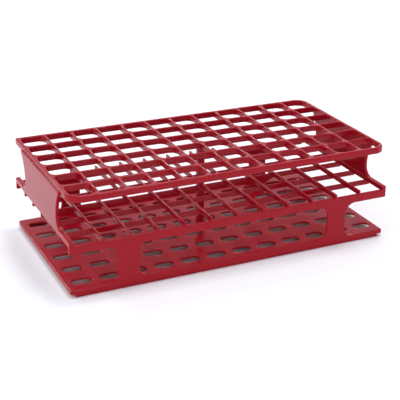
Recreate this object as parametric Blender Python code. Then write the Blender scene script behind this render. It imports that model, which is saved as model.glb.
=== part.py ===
"""Test tube holder: a three-tier moulded rack for sixteen millimetre tubes.

Blender 4.5, metres, +Z up.  The origin is on the bench, under the middle of the rack.
X runs along the length and Y across the width.  Four legs stand on the slotted base and
carry an open lattice deck.  Two end walls stand on that deck and carry the cell deck.  A
square post in the middle props both decks.
"""
import math

import bmesh
import bpy

# Cells: these set the length and the width of the rack.
COLUMNS = 12
ROWS = 6
CELL_OPENING = 0.0184
RIB_THICKNESS = 0.0016
END_MARGIN = 0.003
SIDE_MARGIN = 0.0025

# Levels above the bench.
HEIGHT = 0.072
MIDDLE_HEIGHT = 0.032

# Base plate, the skirt and the two foot rails under it, and the sills on it.
FOOT_HEIGHT = 0.0024
FOOT_WIDTH = 0.0032
FOOT_SIDE_INSET = 0.0008
FOOT_END_INSET = 0.004
SKIRT_HEIGHT = 0.0014
SKIRT_THICKNESS = 0.0022
BASE_THICKNESS = 0.0016
SLOT_LENGTH = 0.0145
SLOT_WIDTH = 0.008
SLOT_SPREAD = 0.00025
SILL_HEIGHT = 0.0016

# Legs.
LEG_WIDTH = 0.015
LEG_THICKNESS = 0.0022
LEG_END_INSET = 0.0343
LEG_OUTER_FILLET = 0.008
LEG_WINDOW_FILLET = 0.006

# Middle deck: rails and long ribs below, with end rails and cross ribs lapped over them.
RAIL_THICKNESS = 0.0022
RAIL_DEPTH = 0.006
LONG_RIB_DEPTH = 0.004
CROSS_RIB_DEPTH = 0.0037
CROSS_RIB_LAP = 0.001
END_RAIL_WIDTH = 0.0035

# End walls.
WALL_THICKNESS = 0.0025
WALL_SIDE_INSET = 0.0265
WALL_FOOT_FILLET = 0.0075
WALL_HEAD_FLARE = 0.0068

# Centre post.
POST_WIDTH = 0.005

# Top deck.
TOP_DEPTH = 0.0046
TOP_END_INSET = 0.0013
TOP_SIDE_INSET = 0.0005
TOP_RIM_WIDTH = 0.0025
TOP_CORNER_RADIUS = 0.010
SQUARE_CORNER_RADIUS = 0.0012

# Clearance between neighbouring solids, and the steps in each quarter circle.
GAP = 0.0003
FILLET_STEPS = 5
SLOT_STEPS = 2

PLASTIC_COLOUR = (0.42, 0.018, 0.045, 1.0)
PLASTIC_ROUGHNESS = 0.38

# Worked out from the sizes above.
PITCH = CELL_OPENING + RIB_THICKNESS
LENGTH = COLUMNS * PITCH + 2 * END_MARGIN
WIDTH = ROWS * PITCH + 2 * SIDE_MARGIN
SLOT_PITCH = PITCH + SLOT_SPREAD
BASE_BOTTOM = FOOT_HEIGHT + SKIRT_HEIGHT
BASE_TOP = BASE_BOTTOM + BASE_THICKNESS
RAIL_TOP = MIDDLE_HEIGHT + RAIL_DEPTH
CROSS_RIB_BOTTOM = RAIL_TOP - CROSS_RIB_LAP
MIDDLE_TOP = CROSS_RIB_BOTTOM + CROSS_RIB_DEPTH
TOP_UNDERSIDE = HEIGHT - TOP_DEPTH
TOP_LENGTH = LENGTH - 2 * TOP_END_INSET
TOP_WIDTH = WIDTH - 2 * TOP_SIDE_INSET
TOP_INNER_LENGTH = TOP_LENGTH - 2 * TOP_RIM_WIDTH
TOP_INNER_WIDTH = TOP_WIDTH - 2 * TOP_RIM_WIDTH
LEG_CENTRE_X = LENGTH / 2 - LEG_END_INSET - LEG_WIDTH / 2


def clear_scene():
    for item in list(bpy.data.objects):
        bpy.data.objects.remove(item, do_unlink=True)


def plastic(name):
    material = bpy.data.materials.new(name)
    material.use_nodes = True
    shader = material.node_tree.nodes["Principled BSDF"]
    shader.inputs["Base Color"].default_value = PLASTIC_COLOUR
    shader.inputs["Roughness"].default_value = PLASTIC_ROUGHNESS
    shader.inputs["Metallic"].default_value = 0.0
    material.diffuse_color = PLASTIC_COLOUR
    return material


def place(name, shape, location, rack, material):
    """Turn a finished bmesh into a named object of the rack."""
    bmesh.ops.recalc_face_normals(shape, faces=shape.faces)
    mesh = bpy.data.meshes.new(name)
    shape.to_mesh(mesh)
    shape.free()
    mesh.materials.append(material)
    item = bpy.data.objects.new(name, mesh)
    item.location = location
    item.parent = rack
    bpy.context.scene.collection.objects.link(item)
    return item


def arc(centre, radius, start, end, steps):
    """Points on an arc from one angle to another, in degrees, both ends included."""
    points = []
    for step in range(steps + 1):
        angle = math.radians(start + (end - start) * step / steps)
        points.append((centre[0] + radius * math.cos(angle), centre[1] + radius * math.sin(angle)))
    return points


def bar(name, low, high, rack, material):
    """A straight member between two opposite corners."""
    shape = bmesh.new()
    bmesh.ops.create_cube(shape, size=1.0)
    bmesh.ops.scale(shape, vec=[b - a for a, b in zip(low, high)], verts=shape.verts[:])
    location = [(a + b) / 2 for a, b in zip(low, high)]
    return place(name, shape, location, rack, material)


def extruded(outline, to_space, thickness_vector):
    """A prism: an outline put in space by a function, then extruded."""
    shape = bmesh.new()
    face = shape.faces.new([shape.verts.new(to_space(u, v)) for u, v in outline])
    grown = bmesh.ops.extrude_face_region(shape, geom=[face])
    moved = [part for part in grown["geom"] if isinstance(part, bmesh.types.BMVert)]
    bmesh.ops.translate(shape, vec=thickness_vector, verts=moved)
    return shape


def flared_outline(half_width, height, fillets):
    """A panel that flares out to what is below and above it.

    fillets holds four radii: right bottom, right top, left top and left bottom.
    """
    right_bottom, right_top, left_top, left_bottom = fillets
    centres = (
        ((half_width + right_bottom, right_bottom), right_bottom, 270, 180),
        ((half_width + right_top, height - right_top), right_top, 180, 90),
        ((-half_width - left_top, height - left_top), left_top, 90, 0),
        ((-half_width - left_bottom, left_bottom), left_bottom, 0, -90),
    )
    outline = []
    for centre, radius, start, end in centres:
        outline += arc(centre, radius, start, end, FILLET_STEPS)
    return outline


def notch_at(line):
    """The stretch that a rib on this line takes out of a member that crosses it."""
    half_width = RIB_THICKNESS / 2 + GAP
    return (line - half_width, line + half_width)


def notched_outline(reach, depth, notches, notch_depth):
    """The side view of a straight member, with notches cut into its edge at height zero."""
    edge = []
    for start, end in notches:
        if start > -reach:
            edge += [(start, 0.0), (start, notch_depth)]
        else:
            edge.append((-reach, notch_depth))
        if end < reach:
            edge += [(end, notch_depth), (end, 0.0)]
        else:
            edge.append((reach, notch_depth))
    if notches[0][0] > -reach:
        edge.insert(0, (-reach, 0.0))
    if notches[-1][1] < reach:
        edge.append((reach, 0.0))
    return edge + [(reach, depth), (-reach, depth)]


# ---- base -------------------------------------------------------------------------------


def slot_outline():
    """One slot, counter-clockwise from the lower end of its right-hand round."""
    radius = SLOT_WIDTH / 2
    reach = SLOT_LENGTH / 2 - radius
    steps = 2 * SLOT_STEPS
    right_end = arc((reach, 0.0), radius, -90, 90, steps)
    left_end = arc((-reach, 0.0), radius, 90, 270, steps)
    return right_end + left_end


def add_slotted_cell(shape, corners, slot):
    """Fill the area between a square cell and the slot in it with four faces."""
    count = len(slot)
    turn = SLOT_STEPS // 2
    joins = [
        turn,
        2 * SLOT_STEPS - turn,
        2 * SLOT_STEPS + 1 + turn,
        4 * SLOT_STEPS + 1 - turn,
    ]
    for side in range(4):
        here = joins[side]
        after = joins[(side + 1) % 4]
        steps = (after - here) % count
        inner = [slot[(here + step) % count] for step in range(steps + 1)]
        outer = [corners[side], corners[(side + 1) % 4]]
        shape.faces.new(outer + inner[::-1])


def base_plate(rack, material):
    """A plate with one slot under each tube, built cell by cell.

    Along the length the slots stand a little further apart than the tubes.
    """
    shape = bmesh.new()
    columns_x = [(column - COLUMNS / 2) * SLOT_PITCH for column in range(COLUMNS + 1)]
    rows_y = [(row - ROWS / 2) * PITCH for row in range(ROWS + 1)]
    lines_x = [-LENGTH / 2] + columns_x + [LENGTH / 2]
    lines_y = [-WIDTH / 2] + rows_y + [WIDTH / 2]
    grid = [[shape.verts.new((x, y, 0.0)) for y in lines_y] for x in lines_x]
    outline = slot_outline()
    for i in range(len(lines_x) - 1):
        for j in range(len(lines_y) - 1):
            around = [grid[i + 1][j], grid[i + 1][j + 1], grid[i][j + 1], grid[i][j]]
            if 1 <= i <= COLUMNS and 1 <= j <= ROWS:
                middle_x = (lines_x[i] + lines_x[i + 1]) / 2
                middle_y = (lines_y[j] + lines_y[j + 1]) / 2
                slot = [shape.verts.new((middle_x + x, middle_y + y, 0.0)) for x, y in outline]
                add_slotted_cell(shape, around, slot)
            else:
                shape.faces.new(around)
    grown = bmesh.ops.extrude_face_region(shape, geom=shape.faces[:])
    moved = [part for part in grown["geom"] if isinstance(part, bmesh.types.BMVert)]
    bmesh.ops.translate(shape, vec=(0.0, 0.0, BASE_THICKNESS), verts=moved)
    return place("base_plate", shape, (0.0, 0.0, BASE_BOTTOM), rack, material)


def side_skirt(name, side, rack, material):
    """The strip under one long edge of the base; side is -1 in front and 1 behind."""
    outer = side * WIDTH / 2
    inner = outer - side * SKIRT_THICKNESS
    low = (-LENGTH / 2, min(outer, inner), FOOT_HEIGHT)
    high = (LENGTH / 2, max(outer, inner), BASE_BOTTOM - GAP)
    return bar(name, low, high, rack, material)


def end_skirt(name, end, rack, material):
    """The strip under one short edge of the base; end is -1 at the left and 1 at the right."""
    outer = end * LENGTH / 2
    inner = outer - end * SKIRT_THICKNESS
    reach = WIDTH / 2 - SKIRT_THICKNESS - GAP
    low = (min(outer, inner), -reach, FOOT_HEIGHT)
    high = (max(outer, inner), reach, BASE_BOTTOM - GAP)
    return bar(name, low, high, rack, material)


def foot_rail(name, side, rack, material):
    """A narrow rail under one long skirt of the base; side is -1 in front and 1 behind."""
    outer = side * (WIDTH / 2 - FOOT_SIDE_INSET)
    inner = outer - side * FOOT_WIDTH
    reach = LENGTH / 2 - FOOT_END_INSET
    low = (-reach, min(outer, inner), 0.0)
    high = (reach, max(outer, inner), FOOT_HEIGHT - GAP)
    return bar(name, low, high, rack, material)


def sill(name, side, rack, material):
    """The low step on the base between two legs."""
    outer = side * WIDTH / 2
    inner = outer - side * LEG_THICKNESS
    reach = LEG_CENTRE_X - LEG_WIDTH / 2 - LEG_WINDOW_FILLET - GAP
    bottom = BASE_TOP + GAP
    low = (-reach, min(outer, inner), bottom)
    high = (reach, max(outer, inner), bottom + SILL_HEIGHT)
    return bar(name, low, high, rack, material)


# ---- legs and end walls -----------------------------------------------------------------


def leg(name, end, side, rack, material):
    """A leg that flares into the base and the deck; end is -1 at the left and 1 at the right."""
    bottom = BASE_TOP + GAP
    height = MIDDLE_HEIGHT - GAP - bottom
    outer, window = LEG_OUTER_FILLET, LEG_WINDOW_FILLET
    fillets = (outer, outer, window, window)
    if end < 0:
        fillets = (window, window, outer, outer)
    outline = flared_outline(LEG_WIDTH / 2, height, fillets)
    thickness = (0.0, -side * LEG_THICKNESS, 0.0)
    shape = extruded(outline, lambda u, v: (u, 0.0, v), thickness)
    location = (end * LEG_CENTRE_X, side * WIDTH / 2, bottom)
    return place(name, shape, location, rack, material)


def waisted_outline(half_width, height):
    """A panel with quarter-round feet, which leans out slowly from there to its top."""
    foot = WALL_FOOT_FILLET
    rise = height - foot
    radius = (rise ** 2 + WALL_HEAD_FLARE ** 2) / (2 * WALL_HEAD_FLARE)
    sweep = math.degrees(math.asin(rise / radius))
    right = arc((half_width + foot, foot), foot, 270, 180, FILLET_STEPS)
    right += arc((half_width + radius, foot), radius, 180, 180 - sweep, FILLET_STEPS)[1:]
    left = [(-u, v) for u, v in reversed(right)]
    return right + left


def end_wall(name, end, rack, material):
    """A sheet flush with one end of the rack, between the middle deck and the top deck."""
    bottom = MIDDLE_TOP + GAP
    height = TOP_UNDERSIDE - GAP - bottom
    outline = waisted_outline(WIDTH / 2 - WALL_SIDE_INSET, height)
    thickness = (-end * WALL_THICKNESS, 0.0, 0.0)
    shape = extruded(outline, lambda u, v: (0.0, u, v), thickness)
    return place(name, shape, (end * LENGTH / 2, 0.0, bottom), rack, material)


# ---- middle deck ------------------------------------------------------------------------


def rib_line_y(row):
    return (row - ROWS / 2) * PITCH


def rib_line_x(column):
    return (column - COLUMNS / 2) * PITCH


def middle_rail(name, side, rack, material):
    """The deep rail along the front or the back of the middle deck."""
    outer = side * WIDTH / 2
    inner = outer - side * RAIL_THICKNESS
    low = (-LENGTH / 2, min(outer, inner), MIDDLE_HEIGHT)
    high = (LENGTH / 2, max(outer, inner), RAIL_TOP)
    return bar(name, low, high, rack, material)


def middle_long_rib(row, rack, material):
    """A rib along the whole length, its top level with the rails."""
    y = rib_line_y(row)
    low = (-LENGTH / 2, y - RIB_THICKNESS / 2, RAIL_TOP - LONG_RIB_DEPTH)
    high = (LENGTH / 2, y + RIB_THICKNESS / 2, RAIL_TOP)
    return bar(f"middle_long_rib_{row}", low, high, rack, material)


def lapped_over_rails(name, x, width, rack, material):
    """A member across the whole width, notched below where it crosses the rails and ribs."""
    reach = WIDTH / 2
    inner = reach - RAIL_THICKNESS - GAP
    notches = [(-reach, -inner)]
    notches += [notch_at(rib_line_y(row)) for row in range(1, ROWS)]
    notches.append((inner, reach))
    outline = notched_outline(reach, CROSS_RIB_DEPTH, notches, CROSS_RIB_LAP + GAP)
    shape = extruded(outline, lambda u, v: (-width / 2, u, v), (width, 0.0, 0.0))
    return place(name, shape, (x, 0.0, CROSS_RIB_BOTTOM), rack, material)


def middle_end_rail(name, end, rack, material):
    """The wide rail across one end, over the ends of the long ribs."""
    x = end * (LENGTH / 2 - END_RAIL_WIDTH / 2)
    return lapped_over_rails(name, x, END_RAIL_WIDTH, rack, material)


def middle_cross_rib(column, rack, material):
    name = f"middle_cross_rib_{column:02d}"
    return lapped_over_rails(name, rib_line_x(column), RIB_THICKNESS, rack, material)


# ---- centre post ------------------------------------------------------------------------


def centre_post(name, bottom, top, rack, material):
    """One length of the post, between two levels, under the crossing nearest the middle."""
    x = rib_line_x(COLUMNS // 2)
    y = rib_line_y(ROWS // 2)
    low = (x - POST_WIDTH / 2, y - POST_WIDTH / 2, bottom + GAP)
    high = (x + POST_WIDTH / 2, y + POST_WIDTH / 2, top - GAP)
    return bar(name, low, high, rack, material)


# ---- top deck ---------------------------------------------------------------------------


def rounded_rectangle(length, width, radii):
    """Radii in the order right back, left back, left front, right front."""
    signs = ((1, 1), (-1, 1), (-1, -1), (1, -1))
    outline = []
    for (sign_x, sign_y), radius, start in zip(signs, radii, (0, 90, 180, 270)):
        centre = (sign_x * (length / 2 - radius), sign_y * (width / 2 - radius))
        outline += arc(centre, radius, start, start + 90, FILLET_STEPS)
    return outline


def top_rim(rack, material):
    """The rim round the cells: three rounded corners and a square one at the left back."""
    outer_radii = (TOP_CORNER_RADIUS, SQUARE_CORNER_RADIUS, TOP_CORNER_RADIUS, TOP_CORNER_RADIUS)
    inner_radii = (TOP_CORNER_RADIUS - TOP_RIM_WIDTH,) * 4
    outer = rounded_rectangle(TOP_LENGTH, TOP_WIDTH, outer_radii)
    inner = rounded_rectangle(TOP_INNER_LENGTH, TOP_INNER_WIDTH, inner_radii)
    shape = bmesh.new()
    outer_verts = [shape.verts.new((x, y, 0.0)) for x, y in outer]
    inner_verts = [shape.verts.new((x, y, 0.0)) for x, y in inner]
    count = len(outer)
    for here in range(count):
        after = (here + 1) % count
        shape.faces.new((outer_verts[here], outer_verts[after], inner_verts[after], inner_verts[here]))
    grown = bmesh.ops.extrude_face_region(shape, geom=shape.faces[:])
    moved = [part for part in grown["geom"] if isinstance(part, bmesh.types.BMVert)]
    bmesh.ops.translate(shape, vec=(0.0, 0.0, TOP_DEPTH), verts=moved)
    return place("top_rim", shape, (0.0, 0.0, TOP_UNDERSIDE), rack, material)


def top_cross_rib(column, rack, material):
    """A rib from the front of the rim to the back, halved from below over the long ribs."""
    reach = TOP_INNER_WIDTH / 2 - GAP
    notches = [notch_at(rib_line_y(row)) for row in range(1, ROWS)]
    outline = notched_outline(reach, TOP_DEPTH, notches, (TOP_DEPTH + GAP) / 2)
    shape = extruded(outline, lambda u, v: (-RIB_THICKNESS / 2, u, v), (RIB_THICKNESS, 0.0, 0.0))
    location = (rib_line_x(column), 0.0, TOP_UNDERSIDE)
    return place(f"top_cross_rib_{column:02d}", shape, location, rack, material)


def top_long_rib(row, rack, material):
    """A rib from one end of the rim to the other, halved from above under the cross ribs."""
    reach = TOP_INNER_LENGTH / 2 - GAP
    notches = [notch_at(rib_line_x(column)) for column in range(1, COLUMNS)]
    outline = notched_outline(reach, TOP_DEPTH, notches, (TOP_DEPTH + GAP) / 2)
    shape = extruded(outline, lambda u, v: (u, -RIB_THICKNESS / 2, -v), (0.0, RIB_THICKNESS, 0.0))
    location = (0.0, rib_line_y(row), HEIGHT)
    return place(f"top_long_rib_{row}", shape, location, rack, material)


# ---- the whole rack ---------------------------------------------------------------------


def build():
    clear_scene()
    rack = bpy.data.objects.new("rack", None)
    bpy.context.scene.collection.objects.link(rack)

    base_plastic = plastic("base_plastic")
    base_plate(rack, base_plastic)
    leg_plastic = plastic("leg_plastic")
    for end, end_name in ((-1, "left"), (1, "right")):
        end_skirt(f"{end_name}_base_skirt", end, rack, base_plastic)
    for side, side_name in ((-1, "front"), (1, "rear")):
        side_skirt(f"{side_name}_base_skirt", side, rack, base_plastic)
        foot_rail(f"{side_name}_foot_rail", side, rack, base_plastic)
        sill(f"{side_name}_sill", side, rack, base_plastic)
        for end, end_name in ((-1, "left"), (1, "right")):
            leg(f"{side_name}_{end_name}_leg", end, side, rack, leg_plastic)
    centre_post("lower_centre_post", BASE_TOP, RAIL_TOP - LONG_RIB_DEPTH, rack, leg_plastic)

    middle_plastic = plastic("middle_deck_plastic")
    for side, side_name in ((-1, "front"), (1, "rear")):
        middle_rail(f"middle_{side_name}_rail", side, rack, middle_plastic)
    for row in range(1, ROWS):
        middle_long_rib(row, rack, middle_plastic)
    for column in range(1, COLUMNS):
        middle_cross_rib(column, rack, middle_plastic)
    wall_plastic = plastic("end_wall_plastic")
    for end, end_name in ((-1, "left"), (1, "right")):
        middle_end_rail(f"middle_{end_name}_rail", end, rack, middle_plastic)
        end_wall(f"{end_name}_end_wall", end, rack, wall_plastic)
    centre_post("upper_centre_post", MIDDLE_TOP, TOP_UNDERSIDE, rack, wall_plastic)

    top_plastic = plastic("top_deck_plastic")
    top_rim(rack, top_plastic)
    for column in range(1, COLUMNS):
        top_cross_rib(column, rack, top_plastic)
    for row in range(1, ROWS):
        top_long_rib(row, rack, top_plastic)


build()
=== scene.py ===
import math

import bmesh
import bpy
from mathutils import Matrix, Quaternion, Vector
from mathutils.geometry import delaunay_2d_cdt


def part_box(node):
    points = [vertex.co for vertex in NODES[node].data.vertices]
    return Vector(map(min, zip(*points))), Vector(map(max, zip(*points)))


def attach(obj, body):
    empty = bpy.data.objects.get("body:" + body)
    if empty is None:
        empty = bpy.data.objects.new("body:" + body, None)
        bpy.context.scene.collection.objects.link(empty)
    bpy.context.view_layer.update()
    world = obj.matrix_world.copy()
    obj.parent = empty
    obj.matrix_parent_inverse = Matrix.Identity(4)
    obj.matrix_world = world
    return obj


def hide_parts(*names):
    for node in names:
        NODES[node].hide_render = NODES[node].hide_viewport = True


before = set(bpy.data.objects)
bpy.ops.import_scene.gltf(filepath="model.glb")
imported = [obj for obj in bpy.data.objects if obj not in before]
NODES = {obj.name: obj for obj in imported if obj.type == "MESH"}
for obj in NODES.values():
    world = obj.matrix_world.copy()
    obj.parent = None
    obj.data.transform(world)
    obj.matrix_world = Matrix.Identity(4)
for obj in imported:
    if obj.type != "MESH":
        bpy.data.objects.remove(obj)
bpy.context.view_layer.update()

# Roundings of the moulding's edges, and how finely they are cut.
RIB_EDGE = 0.0005
TOP_RIB_EDGE = 0.0007
RIM_EDGE = 0.0010
RIM_UNDER_EDGE = 0.0005
PANEL_EDGE = 0.0005
WALL_EDGE = 0.0006
BASE_EDGE = 0.0009
SLOT_EDGE = 0.0005
SLOT_UNDER_EDGE = 0.0003
FOOT_EDGE = 0.0004
POST_EDGE = 0.0004
EDGE_STEPS = 3
ARC_STEPS = 7
SMALL_ARC_STEPS = 3
SMALL_RADIUS = 0.0021

# Members that share a face stand this far apart, so that one of them shows cleanly.
SKIN = 0.00001

# Radii seen from above, from the front and from the end.
CELL_CORNER = 0.0008
ROUND_CELL_CORNER = 0.0050
RIM_CORNER = 0.010
RIM_CORNER_INSIDE = 0.0072
SQUARE_CORNER = 0.0012
LEG_OUTER_FILLET = 0.008
LEG_WINDOW_FILLET = 0.006
WALL_FOOT_FILLET = 0.0075
WALL_HEAD_CORNER = 0.0010
MEMBER_CORNER = 0.0006
BASE_CORNER = 0.0024

# How deep a member runs into the one that carries it.
ROOT = 0.0015
FOOT_ROOT = 0.00075

# An end wall is this much wider on each side at its head than at its waist, and its head rises
# this far past the underside of the top deck, outside the rim.
WALL_HEAD_FLARE = 0.0068
SHOULDER_HEIGHT = 0.0022

# The base's slots, whose pitch along the rack is this much more than the cells', and its skirt.
# A slot's ends are just short of half circles, so that no two points of its outline meet.
SLOT_LENGTH = 0.0145
SLOT_WIDTH = 0.008
SLOT_END_ROUNDNESS = 0.999
SLOT_SPREAD = 0.00025
SKIRT_THICKNESS = 0.0022

# Settings of the triangulation that closes a flat face: leave out what lies outside its
# outline, and join points that are closer than this.
INSIDE_ONLY = 1
JOIN_DISTANCE = 1e-9

# The plastic: two reds that run into each other, the range of its roughness, and its moulded
# grain.  Scales are in waves for each metre, more or less.
DEEP_RED = (0.33, 0.003, 0.010, 1.0)
BRIGHT_RED = (0.38, 0.005, 0.017, 1.0)
FLOW_SCALE = 55.0
FLOW_DETAIL = 3.0
LOW_ROUGHNESS = 0.15
HIGH_ROUGHNESS = 0.22
GLOSS_SCALE = 400.0
GLOSS_DETAIL = 4.0
GRAIN_STRENGTH = 0.1
GRAIN_DEPTH = 0.00006
GRAIN_SCALE = 2600.0
GRAIN_DETAIL = 2.0
SPECULAR_LEVEL = 0.2

# The floor.
FLOOR_HALF_WIDTH = 6.0
FLOOR_COLOUR = (0.97, 0.97, 0.97, 1.0)
FLOOR_ROUGHNESS = 0.9

# The studio's walls and ceiling: its brightness at the horizon, and from a height on the unit
# sphere upwards.
STUDIO_COLOUR = (0.94, 0.97, 1.08, 1.0)
HORIZON_HEIGHT = 0.0
HORIZON_STRENGTH = 0.62
CEILING_HEIGHT = 0.9
CEILING_STRENGTH = 0.72

# Softboxes: name, place, size in metres, power in watts.  They all face the middle of the rack.
MIDDLE_OF_RACK = (0.0, 0.0, 0.03)
SOFTBOXES = (
    ("top_softbox", (0.4, 0.1, 1.85), (0.6, 0.6), 14.0),
    ("left_softbox", (-1.4, 0.1, 0.6), (1.2, 1.0), 4.0),
    ("back_strip", (-0.9, 2.0, 1.05), (0.2, 0.2), 9.0),
    ("background_glow", (1.5, 2.6, 0.4), (3.0, 0.7), 14.0),
    ("front_fill", (-0.5, -2.5, 0.45), (2.4, 0.8), 6.0),
)

# The camera: lens and sensor in millimetres, place, direction, and roll in degrees.
CAMERA_LENS = 93.05
CAMERA_SENSOR = 36.0
CAMERA_PLACE = (-0.3047, -0.6430, 0.3322)
CAMERA_DIRECTION = (0.39342, 0.82995, -0.39547)
CAMERA_ROLL = 0.73


# ---- sizes read from the CAD nodes ------------------------------------------------------


def span(node, axis):
    low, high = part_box(node)
    return low[axis], high[axis]


def middle(node, axis):
    low, high = span(node, axis)
    return (low + high) / 2


X, Y, Z = 0, 1, 2
COLUMNS = 1 + sum(name.startswith("top_cross_rib") for name in NODES)
ROWS = 1 + sum(name.startswith("top_long_rib") for name in NODES)
RIB = span("top_cross_rib_01", X)[1] - span("top_cross_rib_01", X)[0]
PITCH = middle("top_cross_rib_02", X) - middle("top_cross_rib_01", X)
CELL = PITCH - RIB
LEFT, RIGHT = span("base_plate", X)
FRONT, BACK = span("base_plate", Y)
PLATE_BOTTOM, BASE_TOP = span("base_plate", Z)
SKIRT_BOTTOM = span("front_base_skirt", Z)[0]


# ---- outlines ---------------------------------------------------------------------------


def filleted(corners):
    """Round a polygon's corners, each given as (u, v, radius)."""
    outline = []
    count = len(corners)
    for index, (u, v, radius) in enumerate(corners):
        here = Vector((u, v))
        before = (Vector(corners[index - 1][:2]) - here).normalized()
        after = (Vector(corners[(index + 1) % count][:2]) - here).normalized()
        if radius == 0.0:
            outline.append(here)
            continue
        half_angle = before.angle(after) / 2
        reach = radius / math.tan(half_angle)
        centre = here + (before + after).normalized() * radius / math.sin(half_angle)
        start = here + before * reach - centre
        turn = (here + after * reach - centre).angle_signed(start)
        steps = ARC_STEPS if radius > SMALL_RADIUS else SMALL_ARC_STEPS
        for step in range(steps + 1):
            swing = turn * step / steps
            cos = math.cos(swing)
            sin = math.sin(swing)
            outline.append(centre + Vector((start.x * cos - start.y * sin, start.x * sin + start.y * cos)))
    return outline


def rectangle(low_u, high_u, low_v, high_v, radii):
    """Radii start at the low corner and go counter-clockwise."""
    corners = ((low_u, low_v), (high_u, low_v), (high_u, high_v), (low_u, high_v))
    return filleted([(u, v, radius) for (u, v), radius in zip(corners, radii)])


def signed_area(points):
    total = 0.0
    for here, after in zip(points, points[1:] + points[:1]):
        total += here.x * after.y - after.x * here.y
    return total / 2


def offset(points, distance):
    """Move a closed outline to its left by a distance, with mitred corners."""
    moved = []
    count = len(points)
    for index, here in enumerate(points):
        before = (here - points[index - 1]).normalized()
        after = (points[(index + 1) % count] - here).normalized()
        left_before = Vector((-before.y, before.x))
        left_after = Vector((-after.y, after.x))
        moved.append(here + (left_before + left_after) * distance / (1.0 + left_before.dot(left_after)))
    return moved


# ---- mouldings --------------------------------------------------------------------------


def edge_profile(low, high, bottom_edge, top_edge):
    """(inset, height) steps up the side of a moulding, round at both edges."""
    quarter = [math.radians(90 * step / EDGE_STEPS) for step in range(EDGE_STEPS + 1)]
    profile = [(bottom_edge * (1 - math.sin(a)), low + bottom_edge * (1 - math.cos(a))) for a in quarter]
    profile += [(top_edge * (1 - math.cos(a)), high - top_edge * (1 - math.sin(a))) for a in quarter]
    return profile


def cap(shape, rings):
    """Fill the flat region inside the first ring and outside the others, which are convex holes."""
    verts = []
    points = []
    edges = []
    owner = []
    for index, (ring, flat) in enumerate(rings):
        start = len(verts)
        count = len(ring)
        verts += ring
        points += flat
        edges += [(start + i, start + (i + 1) % count) for i in range(count)]
        owner += [index] * count
    filled = delaunay_2d_cdt(points, edges, [], INSIDE_ONLY, JOIN_DISTANCE)
    sources = [found[0] for found in filled[3]]
    for triangle in filled[2]:
        corners = [sources[corner] for corner in triangle]
        owners = {owner[corner] for corner in corners}
        if owners != {0} and len(owners) == 1:
            continue
        shape.faces.new([verts[corner] for corner in corners])


def moulding(name, outline, holes, profile, to_space, hole_profile=()):
    """A plate of one outline with holes, its sides following profiles of (inset, height) steps.

    The plate's underside is flat between the first steps and its face between the last ones.
    to_space maps (u, v, height) to the rack's own X, Y and Z.
    """
    shape = bmesh.new()
    bottoms = []
    tops = []
    for index, points in enumerate([outline] + holes):
        outer = index == 0
        if (signed_area(points) > 0) != outer:
            points = points[::-1]
        rows = []
        for inset, height in profile if outer else hole_profile:
            flat = offset(points, inset)
            rows.append(([shape.verts.new(to_space(p.x, p.y, height)) for p in flat], flat))
        count = len(points)
        for (lower, _), (upper, _) in zip(rows, rows[1:]):
            for i in range(count):
                after = (i + 1) % count
                shape.faces.new((lower[i], lower[after], upper[after], upper[i]))
        bottoms.append(rows[0])
        tops.append(rows[-1])
    cap(shape, bottoms)
    cap(shape, tops)
    bmesh.ops.recalc_face_normals(shape, faces=shape.faces[:])
    mesh = bpy.data.meshes.new(name)
    shape.to_mesh(mesh)
    shape.free()
    piece = bpy.data.objects.new(name, mesh)
    bpy.context.scene.collection.objects.link(piece)
    mesh.shade_smooth()
    piece.modifiers.new("face_normals", "WEIGHTED_NORMAL").keep_sharp = False
    return piece


def flat_space(u, v, height):
    return (u, v, height)


def bar(name, low, high, edge):
    """A straight member between two opposite corners, with its edges round."""
    outline = rectangle(low[X], high[X], low[Y], high[Y], (MEMBER_CORNER,) * 4)
    return moulding(name, outline, [], edge_profile(low[Z], high[Z], edge, edge), flat_space)


# ---- material ---------------------------------------------------------------------------


def red_plastic():
    """Glossy moulded polypropylene: a fine grain, faint flow marks and uneven gloss."""
    material = bpy.data.materials.new("red_polypropylene")
    material.use_nodes = True
    nodes = material.node_tree.nodes
    links = material.node_tree.links
    shader = nodes["Principled BSDF"]
    place = nodes.new("ShaderNodeTexCoord")

    def noise(scale, detail):
        texture = nodes.new("ShaderNodeTexNoise")
        texture.inputs["Scale"].default_value = scale
        texture.inputs["Detail"].default_value = detail
        links.new(place.outputs["Object"], texture.inputs["Vector"])
        return texture.outputs["Fac"]

    def ramp(source, low, high):
        mapped = nodes.new("ShaderNodeMapRange")
        mapped.inputs["To Min"].default_value = low
        mapped.inputs["To Max"].default_value = high
        links.new(source, mapped.inputs["Value"])
        return mapped.outputs["Result"]

    colours = nodes.new("ShaderNodeMix")
    colours.data_type = "RGBA"
    colours.inputs["A"].default_value = DEEP_RED
    colours.inputs["B"].default_value = BRIGHT_RED
    links.new(noise(FLOW_SCALE, FLOW_DETAIL), colours.inputs["Factor"])
    links.new(colours.outputs["Result"], shader.inputs["Base Color"])
    gloss = ramp(noise(GLOSS_SCALE, GLOSS_DETAIL), LOW_ROUGHNESS, HIGH_ROUGHNESS)
    links.new(gloss, shader.inputs["Roughness"])
    grain = nodes.new("ShaderNodeBump")
    grain.inputs["Strength"].default_value = GRAIN_STRENGTH
    grain.inputs["Distance"].default_value = GRAIN_DEPTH
    links.new(noise(GRAIN_SCALE, GRAIN_DETAIL), grain.inputs["Height"])
    links.new(grain.outputs["Normal"], shader.inputs["Normal"])
    shader.inputs["Specular IOR Level"].default_value = SPECULAR_LEVEL
    return material


PLASTIC = red_plastic()


def finish_piece(piece, *nodes):
    piece.data.materials.append(PLASTIC)
    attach(piece, "root")
    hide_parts(*nodes)


# ---- top deck ---------------------------------------------------------------------------


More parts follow.
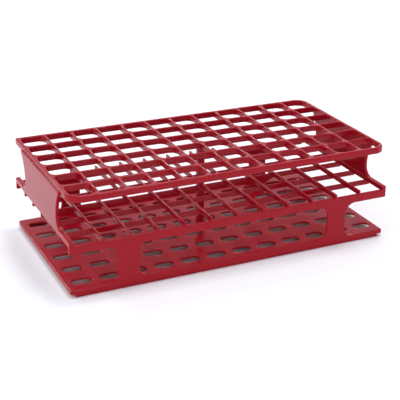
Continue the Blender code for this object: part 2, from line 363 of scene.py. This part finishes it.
def cell_centre(column, row):
    """Columns and rows count from 1, from the left and from the front."""
    return (column - 0.5 - COLUMNS / 2) * PITCH, (row - 0.5 - ROWS / 2) * PITCH


def top_deck():
    """The rim and the ribs in one plate; every other column of cells has round corners."""
    left, right = span("top_rim", X)
    front, back = span("top_rim", Y)
    low, high = span("top_rim", Z)
    outline = rectangle(left, right, front, back, (RIM_CORNER, RIM_CORNER, RIM_CORNER, SQUARE_CORNER))
    holes = []
    for column in range(1, COLUMNS + 1):
        for row in range(1, ROWS + 1):
            u, v = cell_centre(column, row)
            plain = ROUND_CELL_CORNER if column % 2 else CELL_CORNER
            radii = [plain] * 4
            if column == 1 and row == 1:
                radii[0] = RIM_CORNER_INSIDE
            if column == COLUMNS and row == 1:
                radii[1] = RIM_CORNER_INSIDE
            if column == COLUMNS and row == ROWS:
                radii[2] = RIM_CORNER_INSIDE
            half = CELL / 2
            holes.append(rectangle(u - half, u + half, v - half, v + half, radii))
    rim_profile = edge_profile(low, high, RIM_UNDER_EDGE, RIM_EDGE)
    cell_profile = edge_profile(low, high, RIB_EDGE, TOP_RIB_EDGE)
    deck = moulding("top_deck_moulding", outline, holes, rim_profile, flat_space, cell_profile)
    finish_piece(deck, *[name for name in NODES if name.startswith("top_")])


# ---- end walls --------------------------------------------------------------------------


def end_wall(end_name, side):
    """A waisted sheet with a shoulder outside the rim; side is -1 at the left and 1 at the right."""
    node = f"{end_name}_end_wall"
    low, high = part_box(node)
    half_foot = (high.y - low.y) / 2
    waist = half_foot - WALL_FOOT_FILLET
    seat = span(f"middle_{end_name}_rail", Z)[1] - SKIN
    waist_height = low.z + WALL_FOOT_FILLET
    rise = high.z - waist_height
    flare = WALL_HEAD_FLARE
    radius = (rise ** 2 + flare ** 2) / (2 * flare)
    sweep = math.asin(rise / radius)
    shoulder = high.z + SHOULDER_HEIGHT
    head = waist + flare + SHOULDER_HEIGHT * math.tan(sweep)
    lean = [
        (waist + radius * (1 - math.cos(sweep * step / ARC_STEPS)),
         waist_height + radius * math.sin(sweep * step / ARC_STEPS), 0.0)
        for step in range(1, ARC_STEPS + 1)
    ]
    back = [
        (half_foot + ROOT, seat - ROOT, 0.0),
        (half_foot + ROOT, seat, 0.0),
        (waist, seat, WALL_FOOT_FILLET),
        *lean,
        (head, shoulder, WALL_HEAD_CORNER),
    ]
    outline = filleted(back + [(-u, v, corner) for u, v, corner in reversed(back)])
    outer = (high.x if side > 0 else low.x) + side * SKIN

    def wall_space(u, v, height):
        return (outer - side * height, u, v)

    profile = edge_profile(0.0, high.x - low.x, WALL_EDGE, WALL_EDGE)
    wall = moulding(f"{end_name}_wall_moulding", outline, [], profile, wall_space)
    finish_piece(wall, node)


# ---- middle deck ------------------------------------------------------------------------


def middle_deck():
    """Long ribs below and cross ribs over them, end rails included."""
    for row in range(1, ROWS):
        node = f"middle_long_rib_{row}"
        low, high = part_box(node)
        low.x += SKIN
        high.x -= SKIN
        finish_piece(bar(f"lattice_long_rib_{row}", low, high, RIB_EDGE), node)
    crossing = [f"middle_cross_rib_{column:02d}" for column in range(1, COLUMNS)]
    for node in crossing + ["middle_left_rail", "middle_right_rail"]:
        low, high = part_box(node)
        low.y += SKIN
        high.y -= SKIN
        finish_piece(bar(node.replace("middle", "lattice"), low, high, RIB_EDGE), node)


# ---- front and rear panels: rail, two legs and sill -------------------------------------


def panel(side_name, side):
    """Side is -1 in front and 1 behind."""
    rail_low, rail_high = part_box(f"middle_{side_name}_rail")
    sill_top = span(f"{side_name}_sill", Z)[1]
    left_low, left_high = span(f"{side_name}_left_leg", X)
    right_low, right_high = span(f"{side_name}_right_leg", X)
    left_outer = left_low + LEG_OUTER_FILLET
    left_inner = left_high - LEG_WINDOW_FILLET
    right_inner = right_low + LEG_WINDOW_FILLET
    right_outer = right_high - LEG_OUTER_FILLET
    foot = BASE_TOP - ROOT
    plate_top = BASE_TOP - SKIN
    underside = rail_low.z
    outline = filleted([
        (left_outer - LEG_OUTER_FILLET - ROOT, foot, 0.0),
        (right_outer + LEG_OUTER_FILLET + ROOT, foot, 0.0),
        (right_outer + LEG_OUTER_FILLET + ROOT, plate_top, 0.0),
        (right_outer, plate_top, LEG_OUTER_FILLET),
        (right_outer, underside, LEG_OUTER_FILLET),
        (rail_high.x, underside, MEMBER_CORNER),
        (rail_high.x, rail_high.z, MEMBER_CORNER),
        (rail_low.x, rail_high.z, MEMBER_CORNER),
        (rail_low.x, underside, MEMBER_CORNER),
        (left_outer, underside, LEG_OUTER_FILLET),
        (left_outer, plate_top, LEG_OUTER_FILLET),
        (left_outer - LEG_OUTER_FILLET - ROOT, plate_top, 0.0),
    ])
    window = rectangle(left_inner, right_inner, sill_top, underside, (LEG_WINDOW_FILLET,) * 4)
    outer = (rail_high.y if side > 0 else rail_low.y) + side * SKIN
    thickness = rail_high.y - rail_low.y

    def panel_space(u, v, height):
        return (u, outer - side * height, v)

    profile = edge_profile(0.0, thickness, PANEL_EDGE, PANEL_EDGE)
    piece = moulding(f"{side_name}_panel_moulding", outline, [window], profile, panel_space, profile)
    finish_piece(
        piece,
        f"middle_{side_name}_rail",
        f"{side_name}_sill",
        f"{side_name}_left_leg",
        f"{side_name}_right_leg",
    )


# ---- base -------------------------------------------------------------------------------


def base():
    """The slotted plate with the skirt round its underside, and the two foot rails."""
    outline = rectangle(LEFT, RIGHT, FRONT, BACK, (BASE_CORNER,) * 4)
    half_u = SLOT_LENGTH / 2
    half_v = SLOT_WIDTH / 2
    ends = (half_v * SLOT_END_ROUNDNESS,) * 4
    holes = []
    for column in range(1, COLUMNS + 1):
        for row in range(1, ROWS + 1):
            u, v = cell_centre(column, row)
            u *= (PITCH + SLOT_SPREAD) / PITCH
            holes.append(rectangle(u - half_u, u + half_u, v - half_v, v + half_v, ends))
    pocket = [(SKIRT_THICKNESS, PLATE_BOTTOM), (SKIRT_THICKNESS, SKIRT_BOTTOM)]
    profile = pocket + edge_profile(SKIRT_BOTTOM, BASE_TOP, FOOT_EDGE, BASE_EDGE)
    slot_profile = edge_profile(PLATE_BOTTOM, BASE_TOP, SLOT_UNDER_EDGE, SLOT_EDGE)
    plate = moulding("base_moulding", outline, holes, profile, flat_space, slot_profile)
    skirts = [f"{side}_base_skirt" for side in ("front", "rear", "left", "right")]
    finish_piece(plate, "base_plate", *skirts)
    for side_name in ("front", "rear"):
        node = f"{side_name}_foot_rail"
        low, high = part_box(node)
        high.z += FOOT_ROOT
        finish_piece(bar(f"{side_name}_foot_moulding", low, high, FOOT_EDGE), node)


def centre_post():
    """The square post, in one length from the base through the middle deck to the top deck."""
    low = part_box("lower_centre_post")[0]
    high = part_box("upper_centre_post")[1]
    low.z -= ROOT
    high.z += ROOT
    post = bar("centre_post_moulding", low, high, POST_EDGE)
    finish_piece(post, "lower_centre_post", "upper_centre_post")


# ---- stage ------------------------------------------------------------------------------


def white_floor():
    material = bpy.data.materials.new("white_floor")
    material.use_nodes = True
    shader = material.node_tree.nodes["Principled BSDF"]
    shader.inputs["Base Color"].default_value = FLOOR_COLOUR
    shader.inputs["Roughness"].default_value = FLOOR_ROUGHNESS
    shader.inputs["Specular IOR Level"].default_value = 0.0
    return material


def floor():
    mesh = bpy.data.meshes.new("floor")
    half = FLOOR_HALF_WIDTH
    corners = [(-half, -half, 0), (half, -half, 0), (half, half, 0), (-half, half, 0)]
    mesh.from_pydata(corners, [], [(0, 1, 2, 3)])
    mesh.materials.append(white_floor())
    ground = bpy.data.objects.new("floor", mesh)
    bpy.context.scene.collection.objects.link(ground)


def softbox(name, place, size, power):
    data = bpy.data.lights.new(name, "AREA")
    data.shape = "RECTANGLE"
    data.size, data.size_y = size
    data.energy = power
    lamp = bpy.data.objects.new(name, data)
    lamp.location = place
    lamp.rotation_euler = (Vector(MIDDLE_OF_RACK) - Vector(place)).to_track_quat("-Z", "Y").to_euler()
    bpy.context.scene.collection.objects.link(lamp)


def studio():
    """A pale room all round, a little brighter overhead."""
    world = bpy.data.worlds.new("studio")
    world.use_nodes = True
    nodes = world.node_tree.nodes
    links = world.node_tree.links
    backdrop = nodes["Background"]
    direction = nodes.new("ShaderNodeTexCoord")
    split = nodes.new("ShaderNodeSeparateXYZ")
    rise = nodes.new("ShaderNodeMapRange")
    rise.inputs["From Min"].default_value = HORIZON_HEIGHT
    rise.inputs["From Max"].default_value = CEILING_HEIGHT
    rise.inputs["To Min"].default_value = HORIZON_STRENGTH
    rise.inputs["To Max"].default_value = CEILING_STRENGTH
    links.new(direction.outputs["Generated"], split.inputs["Vector"])
    links.new(split.outputs["Z"], rise.inputs["Value"])
    links.new(rise.outputs["Result"], backdrop.inputs["Strength"])
    backdrop.inputs["Color"].default_value = STUDIO_COLOUR
    bpy.context.scene.world = world


def camera():
    data = bpy.data.cameras.new("camera")
    data.lens = CAMERA_LENS
    data.sensor_width = CAMERA_SENSOR
    view = bpy.data.objects.new("camera", data)
    view.location = CAMERA_PLACE
    aim = Vector(CAMERA_DIRECTION).to_track_quat("-Z", "Y")
    view.rotation_mode = "QUATERNION"
    view.rotation_quaternion = aim @ Quaternion((0.0, 0.0, 1.0), math.radians(CAMERA_ROLL))
    bpy.context.scene.collection.objects.link(view)
    bpy.context.scene.camera = view
    bpy.context.scene.view_settings.view_transform = "Standard"


top_deck()
for wall_name, wall_side in (("left", -1), ("right", 1)):
    end_wall(wall_name, wall_side)
middle_deck()
for panel_name, panel_side in (("front", -1), ("rear", 1)):
    panel(panel_name, panel_side)
base()
centre_post()
floor()
studio()
for softbox_name, softbox_place, softbox_size, softbox_power in SOFTBOXES:
    softbox(softbox_name, softbox_place, softbox_size, softbox_power)
camera()
